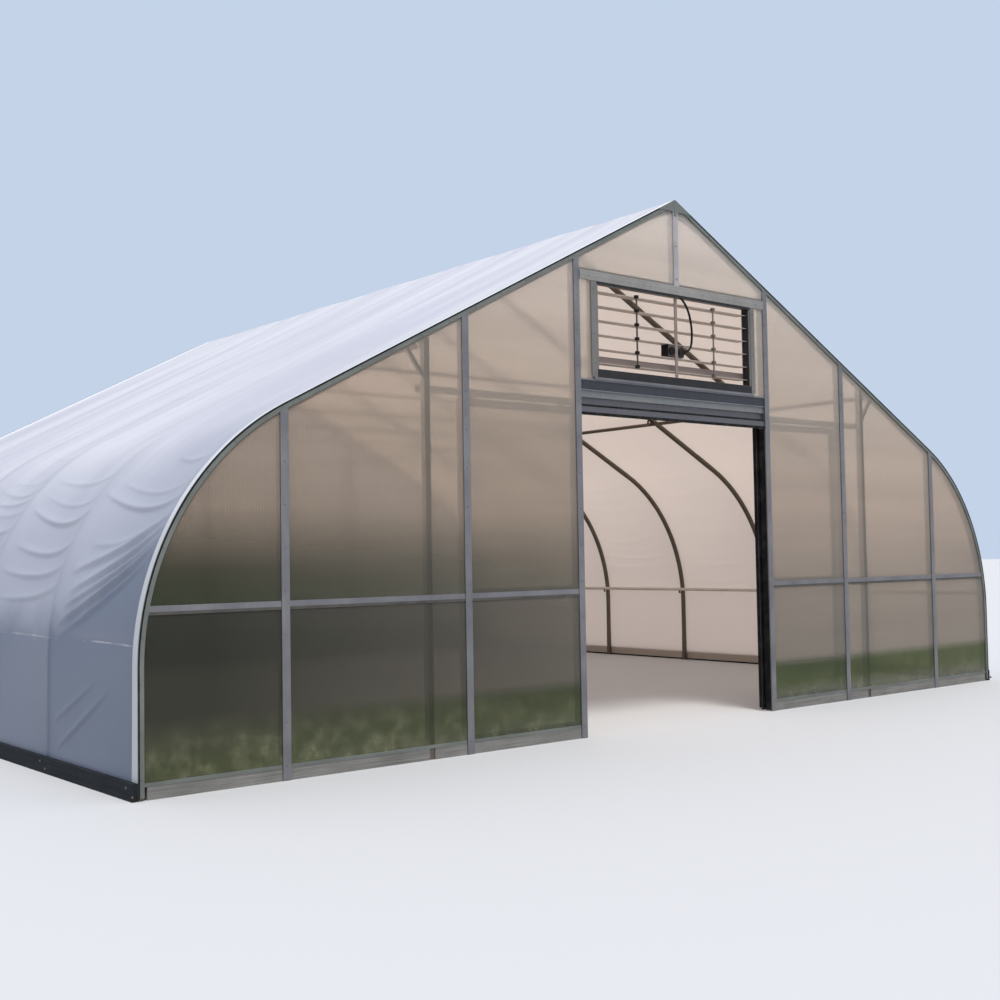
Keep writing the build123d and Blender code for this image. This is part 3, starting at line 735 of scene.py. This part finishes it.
head_fold = [(-skin_gap, 0.0), (-0.004, 0.001), (-0.006, 0.006), (-0.006, 0.030), (bead_y, 0.034),
             (bead_y, 0.047), (-0.006, 0.051), (-0.006, head_rise - 0.006), (-0.004, head_rise - 0.001),
             (-skin_gap, head_rise)]
head_strip = [ring_sweep([[(x, front + y, head_low + z) for y, z in head_fold]
                          for x in (reveal - 0.001, -reveal + 0.001)])]
for x in (-1.1, -0.7, -0.35, 0.35, 0.7, 1.1):
    head_strip.append(screw(x, front + bead_y, head_low + 0.04, -1, 8))
head_metal = mill_aluminium("head_strip_aluminium", "#A9A6A2", "#8F8C89", 0.45, 0.6)
joined("head_strip", head_strip, head_metal, "house")
shutter_lips = [plank((-lip_half, lip_y, shutter_low.z), (lip_half, face_y, lip_top))]
for x in (-lip_screw_x, lip_screw_x):
    for z in (shutter_low.z + 0.045, opening_low + 0.3, opening_high - 0.05):
        shutter_lips.append(screw(x, lip_y, z, -1, 8))
joined("shutter_lips", shutter_lips, bright_bar, "house")
flanges = []
for sign in (-1, 1):
    flanges.append(plank((sign * flange_inner, lip_y, flange_foot),
                         (sign * flange_outer[sign], face_y, head_low - 0.001)))
joined("shutter_flanges", flanges, shutter_metal, "house")

# Painted shade on the shutter's sill, head and sides
# Dark grey faces over the sill and along the head of the opening, and dark strips down both sides behind the
# ends of the blades, are painted shade.
shade_face_half = 1.012
side_shade_x = (0.9935, 0.9949)
shutter_shade_faces = [plank((-shade_face_half, front - 0.0016, foot), (shade_face_half, face_y, top))
              for foot, top in ((flange_foot, opening_low - 0.002),
                                (opening_high - 0.012, opening_high + 0.009))]
# Painted shade: dark strips down both sides of the opening, behind the blade ends.
for sign in (-1, 1):
    shutter_shade_faces.append(plank((sign * side_shade_x[0], blade_y - 0.02, opening_low + 0.001),
                            (sign * side_shade_x[1], blade_y + 0.05, opening_high - 0.002)))
joined("shutter_painted_shade", shutter_shade_faces, satin_finish("shutter_shade_grey", "#2E2F33", 0.55), "house")

# Link rods, clips and motor
# Two painted steel rods carry a moulded clip for each blade, and a small motor in a black housing on the
# middle bar turns them. Its two round gearbox covers face out.
rod_y = blade_y - 0.0083
rod_x = 0.505
bar_half = 0.02
right_rod_side = 0.48
rail_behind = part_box("shutter_frame")[1].y - 0.001
clip_half_width = 0.016
clip_half_height = 0.013
pin_inset = 0.006
pin_radius = 0.013


def linkage_paint():
    """Satin paint on the linkage: dark on the left rod, grey on the right one, pale on the bar and rail."""
    material = start_material("linkage_paint")
    place = add_node(material, "TexCoord")
    split = add_node(material, "SeparateXYZ", {"Vector": (place, "Object")})
    aside = add_node(material, "Math", {0: (split, "X")}, operation="ABSOLUTE")
    dust = add_node(material, "TexNoise", {"Vector": (place, "Object"), "Scale": 1 / dust_patch,
                                           "Detail": 5.0})
    dark = add_node(material, "ValToRGB", {"Fac": (dust, "Fac")}, [(0.4, "#4A4542"), (0.9, "#5E5650")])
    colour = (dark, "Color")
    for operation, value, limit, code in (("GREATER_THAN", (split, "X"), right_rod_side, "#7B7169"),
                                          ("LESS_THAN", (aside, "Value"), bar_half, "#877A74"),
                                          ("GREATER_THAN", (split, "Y"), rail_behind, "#8C7F79")):
        inside = add_node(material, "Math", {0: value, 1: limit}, operation=operation)
        zone = add_node(material, "Mix", {"Factor": (inside, "Value"), 6: colour, 7: linear(code)},
                        data_type="RGBA")
        colour = (zone, "Result")
    skin = add_node(material, "BsdfPrincipled", {"Base Color": colour, "Roughness": 0.5,
                                                 "Specular IOR Level": 0.2})
    return finish_material(material, skin)


clothe(["shutter_linkage"], linkage_paint())
grey_plastic = satin_finish("grey_clip_plastic", "#6A625C", 0.5)
for side, x, finish in (("left", -rod_x, black_rubber_and_painted_shade), ("right", rod_x, grey_plastic)):
    link_clips = []
    for level in blade_levels:
        link_clips.append(plank((x - clip_half_width, rod_y - clip_half_height, level - clip_half_height),
                                (x + clip_half_width, rod_y + 0.016, level + clip_half_height)))
    joined(f"{side}_link_clips", link_clips, finish, "house")
motor_parts = []
for level in blade_levels:
    for sign in (-1, 1):
        pin = (sign * (opening_half - pin_inset), blade_y + 0.030, level)
        motor_parts.append(bolt_head(pin, (-sign, 0, 0), pin_radius, 0.010, 10))
motor_low = blade_levels[1] + 0.006
motor_high = blade_levels[2] - 0.006
motor_parts.append(plank((-0.104, rod_y + 0.0085, motor_low + 0.001),
                         (0.104, rod_y + 0.092, motor_high - 0.001)))
for x, rise, radius in ((-0.060, 0.052, 0.036), (0.064, 0.050, 0.040)):
    level = motor_low + rise
    motor_parts.append(rod((x, rod_y - 0.006, level), (x, rod_y + 0.02, level), radius, 18))
joined("shutter_motor", motor_parts, black_rubber_and_painted_shade, "house")

# Motor cable
# A stiff round cable in black rubber, about 20 mm thick. It leaves the top of the shutter frame beside the
# middle bar, bows out to the right and goes into the side of the motor.
cable_depth = rod_y - 0.004
cable_thickness = 0.020
cable_route = [(0.045, opening_high - 0.0006), (0.092, 3.812), (0.168, 3.715), (0.206, 3.570), (0.204, 3.430),
               (0.165, 3.346), (0.100, 3.334)]


def round_cable():
    """The cable as one smooth curve with a round section."""
    curve = bpy.data.curves.new("shutter_cable", "CURVE")
    curve.dimensions = "3D"
    spline = curve.splines.new("NURBS")
    spline.points.add(len(cable_route) - 1)
    for point, (x, z) in zip(spline.points, cable_route):
        point.co = (x, cable_depth, z, 1.0)
    spline.order_u = 3
    spline.use_endpoint_u = True
    curve.bevel_depth = cable_thickness / 2
    curve.bevel_resolution = 3
    curve.materials.append(black_rubber_and_painted_shade)
    made = bpy.data.objects.new("shutter_cable", curve)
    bpy.context.scene.collection.objects.link(made)
    return made


cable = round_cable()
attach(cable, "house")

# Door leaves
# Each leaf is a welded aluminium frame with a sheet in its upper and lower half. A rubber nose and flap run
# up its leading edge and a brush under its foot, and each wheel hanger is bolted to the top rail.
nose_depth = 0.008
flap_width = 0.043
rubber_inset = 0.004
brush_foot = 0.009
hanger_inset = 0.15
rail_screw_height = 1.23
stile_middle = 0.022
for side, sign in (("left", -1), ("right", 1)):
    leaf_low, leaf_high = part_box(f"door_{side}_frame")
    leading, trailing = (leaf_low.x, leaf_high.x) if sign > 0 else (leaf_high.x, leaf_low.x)
    foot = leaf_low.z + rubber_inset
    top = leaf_high.z - rubber_inset
    rubber = [plank((leading - sign * nose_depth, leaf_low.y + rubber_inset, foot),
                    (leading - sign * skin_gap, leaf_high.y - rubber_inset, top)),
              plank((leaf_low.x + 0.01, leaf_low.y + 0.015, brush_foot),
                    (leaf_high.x - 0.01, leaf_high.y - 0.015, leaf_low.z - skin_gap)),
              plank((leading, leaf_low.y - 0.002, foot),
                    (leading + sign * flap_width, leaf_low.y - skin_gap, top))]
    joined(f"leaf_rubber_{side}", rubber, black_rubber_and_painted_shade, f"door_{side}")
    fixings = []
    for inset in (hanger_inset, leaf_high.x - leaf_low.x - hanger_inset):
        for along in (-0.045, 0.045):
            place = (leading + sign * inset + along, (leaf_low.y + leaf_high.y) / 2, leaf_high.z + 0.0042)
            fixings.append(bolt_head(place, (0, 0, 1), 0.008, 0.005))
    for z in (leaf_low.z + 0.05, rail_screw_height, leaf_high.z - 0.03):
        for x in (leading + sign * stile_middle, trailing - sign * stile_middle):
            fixings.append(bolt_head((x, leaf_low.y - 0.0002, z), (0, -1, 0), 0.006, 0.003))
    joined(f"leaf_fixings_{side}", fixings, bright_bar, f"door_{side}")

# Film cover
# One sheet of greenhouse polyethylene, 0.2 mm thick and milky white, drawn over the bows and locked at both
# gables. It sinks between the bows, hangs in swags round the bend and pulls into creases from the end bow. Its
# colour carries painted shade: blue-grey low on both sides, reaching higher near the front gable.
bay_steps = [90, 44, 20, 20, 20, 20]
side_steps = ([70, 150, 44], [16, 90, 44])
film_inset = 0.002
film_hem = 0.095
film_edge = 0.012
crinkle_size = 0.1111
pull_width = 0.2941
pull_length = 4.0
rub_and_shade_patch = 0.769
shade_reach = 1.35
shade_rise = 0.68
tone_height = 4.8
rub_half = 0.006
sag_places = [0.0, 0.12, 0.5, 0.85, 1.6, 2.4, 3.2, 4.5, 6.4, 7.3, half_arch]
sag_depths = [0.0, 0.004, 0.014, 0.024, 0.046, 0.048, 0.036, 0.026, 0.020, 0.012, 0.004]
sag_strength = 2.1
ripple_height = 0.0016
fold_strength = 1.25
fold_narrowing = 0.72
swag_share = {-1: 1.0, 1: 0.4}
swag_start = 1.0
swag_end = 3.1
random.seed(41)
# Each fold: its start and height, its end and height, its width, depth and droop.
measured_folds = [
    (0.10, 2.04, 1.50, 2.12, 0.038, 0.020, 0.09),
    (0.22, 2.18, 1.40, 2.24, 0.030, 0.009, 0.07),
    (0.30, 2.48, 0.95, 2.54, 0.035, 0.011, 0.05),
    (0.30, 1.84, 1.30, 1.68, 0.040, 0.012, 0.05),
    (0.10, 1.88, 1.42, 1.45, 0.045, 0.030, 0.0),
    (0.12, 1.79, 1.38, 1.30, 0.040, 0.030, 0.0),
    (0.12, 1.71, 1.40, 1.19, 0.034, 0.024, 0.0),
    (0.14, 1.66, 1.44, 1.06, 0.036, 0.026, 0.0),
    (0.22, 1.52, 1.42, 0.96, 0.030, 0.016, 0.0),
    (0.55, 0.62, 1.40, 0.16, 0.026, 0.012, 0.0),
    (0.80, 0.66, 1.44, 0.36, 0.024, 0.010, 0.0),
    (1.52, 1.96, 2.95, 2.05, 0.040, 0.021, 0.10),
    (1.56, 2.14, 2.90, 2.20, 0.032, 0.010, 0.08),
    (1.54, 1.69, 2.90, 1.70, 0.036, 0.016, 0.07),
    (1.56, 1.50, 2.95, 1.47, 0.036, 0.015, 0.05),
    (1.56, 1.35, 2.90, 1.24, 0.034, 0.014, 0.04),
    (1.60, 2.43, 2.95, 2.38, 0.040, 0.012, 0.06),
]


def add_fold(height, along, up, fold):
    """Adds one ridge to the film: from one bow to the next, drooping between, with a steep lower flank."""
    start, start_up, end, end_up, width, depth, droop = fold
    step = (along - start) / (end - start)
    inside = (step > 0) & (step < 1)
    step = np.clip(step, 0, 1)
    line = start_up + (end_up - start_up) * step - droop * 4 * step * (1 - step)
    lean = math.cos(math.atan2(end_up - start_up, end - start))
    across = (up - line) * lean
    flank = np.where(across < 0, 0.62, 1.5) * width * fold_narrowing
    ridge = np.exp(-np.abs(across / flank) ** 1.5)
    height += np.where(inside, fold_strength * depth * np.sin(math.pi * step) ** 0.6 * ridge, 0)


def swags(bay_start, bay_length, side):
    """Random swag folds of one bay and one side, from the bend up to the slope."""
    folds = []
    up = swag_start + random.uniform(0, 0.2)
    while up < swag_end:
        near = bay_start + bay_length * random.uniform(0.0, 0.12)
        far = bay_start + bay_length * random.uniform(0.86, 1.0)
        depth = random.uniform(0.006, 0.017) * (1.0 if up < 2.5 else 0.6) * swag_share[side]
        folds.append((near, up, far, up + random.uniform(-0.12, 0.12), random.uniform(0.028, 0.045), depth,
                      random.uniform(0.03, 0.11)))
        up += random.uniform(0.12, 0.34)
    return folds


def film_height(along, up, sign):
    """How far the film stands in or out of the arch line, over its length and its way up one side."""
    bay = bow_places[1] - bow_places[0]
    step = np.clip((along - bow_places[0]) / bay, 0, len(bow_places) - 1)
    part = step - np.floor(step)
    hang = 4 * part * (1 - part)
    height = -sag_strength * np.interp(up, sag_places, sag_depths) * hang
    ripple = np.sin(2 * math.pi * (3 * part + 0.13 * up))
    ripple += 0.6 * np.sin(2 * math.pi * (5 * part - 0.21 * up + 0.3))
    height += ripple_height * ripple * np.sqrt(hang) * np.clip(up - 2.4, 0, 1)
    folds = []
    gable = bow_places[0] - bow_radius
    if sign < 0:
        for start, start_up, end, *rest in measured_folds:
            folds.append((gable + start, start_up, gable + end, *rest))
    for number, y in enumerate(bow_places[:-1]):
        if sign > 0 or number > 1:
            folds += swags(y, bay, sign)
    for fold in folds:
        add_fold(height, along, up, fold)
    foot = np.clip((up - 0.10) / 0.12, 0, 1)
    edge = np.clip((film_reach - 0.03 - np.abs(along)) / 0.08, 0, 1)
    return height * foot * edge


def divided(marks, counts):
    """Places from mark to mark, with its own count of steps for each stretch, and the last mark."""
    places = []
    for start, end, count in zip(marks[:-1], marks[1:], counts):
        places += [start + (end - start) * step / count for step in range(count)]
    return places + [marks[-1]]


def film_mesh():
    """The whole film as one surface, from the left foot over the ridge to the right foot."""
    along = np.array([-film_reach, -film_reach + film_edge, *divided(bow_places, bay_steps),
                      film_reach - film_edge, film_reach])
    left, right = (np.array(divided([0.0, leg_length, bend_end, half_arch], steps)) for steps in side_steps)
    rows = []
    for sign, order in ((-1, left), (1, right[-2::-1])):
        grid_along, grid_up = np.meshgrid(along, order)
        x, z, out_x, out_z = arch_place(grid_up, film_inset)
        height = film_height(grid_along, grid_up, sign)
        rows.append(np.stack([sign * (x + height * out_x), grid_along, z + height * out_z], axis=-1))
    points = np.concatenate(rows)
    count_up, count_along = points.shape[:2]
    index = np.arange(count_up * count_along).reshape(count_up, count_along)
    faces = np.stack([index[:-1, :-1], index[1:, :-1], index[1:, 1:], index[:-1, 1:]], axis=-1).reshape(-1, 4)
    mesh = bpy.data.meshes.new("film_cover")
    mesh.vertices.add(count_up * count_along)
    mesh.vertices.foreach_set("co", points.reshape(-1))
    mesh.loops.add(faces.size)
    mesh.loops.foreach_set("vertex_index", faces.reshape(-1))
    mesh.polygons.add(len(faces))
    mesh.polygons.foreach_set("loop_start", np.arange(len(faces)) * 4)
    mesh.polygons.foreach_set("loop_total", np.full(len(faces), 4))
    mesh.update(calc_edges=True)
    mesh.shade_smooth()
    made = bpy.data.objects.new("film_cover", mesh)
    bpy.context.scene.collection.objects.link(made)
    return made


def greenhouse_film():
    """Milky polyethylene: a soft cool sheen outside, warm light through it inside, and painted shade on its
    lower sides.
    """
    material = start_material("greenhouse_polyethylene")
    place = add_node(material, "TexCoord")
    split = add_node(material, "SeparateXYZ", {"Vector": (place, "Object")})
    crinkle = add_node(material, "TexNoise", {"Vector": (place, "Object"), "Scale": 1 / crinkle_size,
                                              "Detail": 6.0, "Roughness": 0.55})
    drawn = add_node(material, "Mapping", {"Vector": (place, "Object"),
                                           "Scale": (1 / pull_length, 1 / pull_width, 1 / pull_length)})
    pulls = add_node(material, "TexNoise", {"Vector": (drawn, "Vector"), "Scale": 1.0, "Detail": 3.0})
    # One noise makes the rub marks along the side rails and wanders the edge of the painted shade.
    rub_and_shade_noise = add_node(material, "TexNoise", {"Vector": (place, "Object"), "Scale": 1 / rub_and_shade_patch,
                                           "Detail": 5.0, "Roughness": 0.6})
    # The painted shade reaches 0.68 m higher near the front gable and fades out over 1.35 m.
    near = add_node(material, "MapRange", {"Value": (split, "Y"), "From Min": -gable_plane,
                                           "From Max": -gable_plane + shade_reach, "To Min": shade_rise,
                                           "To Max": 0.0})
    wander = add_node(material, "MapRange", {"Value": (rub_and_shade_noise, "Fac"), "From Min": 0.3, "From Max": 0.7,
                                             "To Min": -0.10, "To Max": 0.10})
    lifted = add_node(material, "Math", {0: (split, "Z"), 1: (near, "Result")}, operation="SUBTRACT")
    moved = add_node(material, "Math", {0: (lifted, "Value"), 1: (wander, "Result")}, operation="ADD")
    level = add_node(material, "Math", {0: (moved, "Value"), 1: tone_height}, operation="DIVIDE")
    # Painted shade: the film is drawn dark blue-grey up to about 1 m and pale from about 1.25 m up.
    body = add_node(material, "ValToRGB", {"Fac": (level, "Value")},
                    [(0.0, "#5F7088"), (0.20, "#66768E"), (0.26, "#A8B0C2"), (0.42, "#BCC2D2"),
                     (0.52, "#D9DCE7"), (1.0, "#E6E8F1")])
    fade = add_node(material, "MapRange", {"Value": (split, "Z"), "From Min": 1.6, "From Max": 2.6})
    streaks = add_node(material, "ValToRGB", {"Fac": (pulls, "Fac")}, [(0.35, "#E9E9EE"), (0.6, "#FFFFFF")])
    outside = add_node(material, "Mix", {"Factor": (fade, "Result"), 6: (body, "Color"),
                                         7: (streaks, "Color")}, data_type="RGBA", blend_type="MULTIPLY")
    on_rail = add_node(material, "Math", {0: (split, "Z"), 1: film_foot + rail_up_film, 2: rub_half},
                       operation="COMPARE")
    rubbed = add_node(material, "MapRange", {"Value": (rub_and_shade_noise, "Fac"), "From Min": 0.46, "From Max": 0.58,
                                             "To Min": 0.0, "To Max": 0.36})
    rub = add_node(material, "Math", {0: (on_rail, "Value"), 1: (rubbed, "Result")}, operation="MULTIPLY")
    worn = add_node(material, "Mix", {"Factor": (rub, "Value"), 6: (outside, "Result"), 7: linear("#F4F2F2")},
                    data_type="RGBA")
    reach = add_node(material, "Math", {0: (split, "Y")}, operation="ABSOLUTE")
    double = add_node(material, "Math", {0: (reach, "Value"), 1: film_reach - film_hem},
                      operation="GREATER_THAN")
    hem = add_node(material, "Mix", {"Factor": 0.50, 6: (body, "Color"), 7: linear("#FFFFFF")},
                   data_type="RGBA")
    hemmed = add_node(material, "Mix", {"Factor": (double, "Value"), 6: (worn, "Result"), 7: (hem, "Result")},
                      data_type="RGBA")
    face = add_node(material, "NewGeometry")
    shown = add_node(material, "Mix", {"Factor": (face, "Backfacing"), 6: (hemmed, "Result"),
                                       7: linear("#EFE2D6")}, data_type="RGBA")
    height = add_node(material, "Math", {0: (crinkle, "Fac"), 1: (pulls, "Fac")}, operation="ADD")
    bump = add_node(material, "Bump", {"Height": (height, "Value"), "Distance": 0.005, "Strength": 0.14})
    skin = add_node(material, "BsdfPrincipled", {"Base Color": (shown, "Result"), "Roughness": 0.40,
                                                 "Specular IOR Level": 0.4, "Normal": (bump, "Normal")})
    tint = add_node(material, "Mix", {"Factor": (face, "Backfacing"), 6: linear("#D3DEF6"),
                                      7: linear("#FFE9D8")}, data_type="RGBA")
    glow = add_node(material, "BsdfTranslucent", {"Color": (tint, "Result")})
    share = add_node(material, "MapRange", {"Value": (face, "Backfacing"), "To Min": 0.22, "To Max": 0.46})
    thinner = add_node(material, "MapRange", {"Value": (double, "Value"), "To Min": 1.0, "To Max": 0.3})
    passed = add_node(material, "Math", {0: (share, "Result"), 1: (thinner, "Result")}, operation="MULTIPLY")
    film = add_node(material, "MixShader", {0: (passed, "Value"), 1: (skin, "BSDF"), 2: (glow, "BSDF")})
    return finish_material(material, film)


film = film_mesh()
film.data.materials.append(greenhouse_film())
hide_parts("cover_side_left", "cover_bend_left", "cover_slope_left", "cover_side_right",
            "cover_bend_right", "cover_slope_right")
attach(film, "house")

# Floor, light and camera
# A plain pale floor under soft daylight from high over the gable, against a pale blue backdrop, seen from the
# photograph's viewpoint.
lens = 45.68
camera_place = (-8.500, -12.322, 1.516)
camera_yaw = math.radians(39.667)
camera_pitch = math.radians(2.524)
camera_roll = math.radians(-0.945)
floor_reach = 150


def pale_floor():
    """A large matt floor that keeps the soft shadow."""
    material = start_material("pale_floor")
    path = add_node(material, "LightPath")
    seen = add_node(material, "Math", {0: (path, "Is Camera Ray"), 1: (path, "Is Glossy Ray")},
                    operation="MAXIMUM")
    seen = add_node(material, "Math", {0: (seen, "Value"), 1: (path, "Is Transmission Ray")},
                    operation="MAXIMUM")
    colour = add_node(material, "Mix", {"Factor": (seen, "Value"), 6: linear("#B2B0AC"),
                                        7: linear("#C9CBCE")}, data_type="RGBA")
    skin = add_node(material, "BsdfPrincipled", {"Base Color": (colour, "Result"), "Roughness": 0.9})
    corners = [(floor_reach * x, floor_reach * y, 0) for x, y in ((-1, -1), (1, -1), (1, 1), (-1, 1))]
    mesh_object("studio_floor", corners, [(0, 1, 2, 3)], finish_material(material, skin))


def plain_world():
    """Even pale light, a little stronger from above, with a pale blue backdrop that sheets show too."""
    world = bpy.data.worlds.new("studio")
    bpy.context.scene.world = world
    world.use_nodes = True
    world.node_tree.nodes.clear()
    place = add_node(world, "TexCoord")
    split = add_node(world, "SeparateXYZ", {"Vector": (place, "Generated")})
    rise = add_node(world, "MapRange", {"Value": (split, "Z"), "To Min": 0.78, "To Max": 1.05})
    light = add_node(world, "Background", {"Color": linear("#E8EEFA"), "Strength": (rise, "Result")})
    backdrop = add_node(world, "Background", {"Color": linear("#C4D3E8"), "Strength": 1.0})
    path = add_node(world, "LightPath")
    seen = add_node(world, "Math", {0: (path, "Is Camera Ray"), 1: (path, "Is Transmission Ray")},
                    operation="MAXIMUM")
    both = add_node(world, "MixShader", {0: (seen, "Value"), 1: (light, "Background"),
                                         2: (backdrop, "Background")})
    add_node(world, "OutputWorld", {"Surface": (both, "Shader")})


def soft_sun():
    """A broad sun, high over the front gable."""
    light = bpy.data.lights.new("key", "SUN")
    light.energy = 2.2
    light.angle = math.radians(20)
    light.color = linear("#FFF8EE")[:3]
    lamp = bpy.data.objects.new("key", light)
    lamp.rotation_euler = Vector((-0.08, -0.45, 0.885)).to_track_quat("Z", "Y").to_euler()
    bpy.context.scene.collection.objects.link(lamp)


def photo_camera():
    """The camera at the place, angle and lens worked out from the photograph."""
    ahead = Vector((math.sin(camera_yaw) * math.cos(camera_pitch),
                    math.cos(camera_yaw) * math.cos(camera_pitch), math.sin(camera_pitch)))
    level = Vector((math.cos(camera_yaw), -math.sin(camera_yaw), 0))
    upright = level.cross(ahead)
    right = math.cos(camera_roll) * level + math.sin(camera_roll) * upright
    up = -math.sin(camera_roll) * level + math.cos(camera_roll) * upright
    camera = bpy.data.objects.new("camera", bpy.data.cameras.new("camera"))
    camera.data.lens = lens
    camera.data.sensor_width = 36
    turn = Matrix((right, up, -ahead)).transposed()
    camera.matrix_world = Matrix.Translation(camera_place) @ turn.to_4x4()
    bpy.context.scene.collection.objects.link(camera)
    bpy.context.scene.camera = camera


pale_floor()
plain_world()
soft_sun()
photo_camera()
bpy.context.scene.view_settings.view_transform = "Standard"
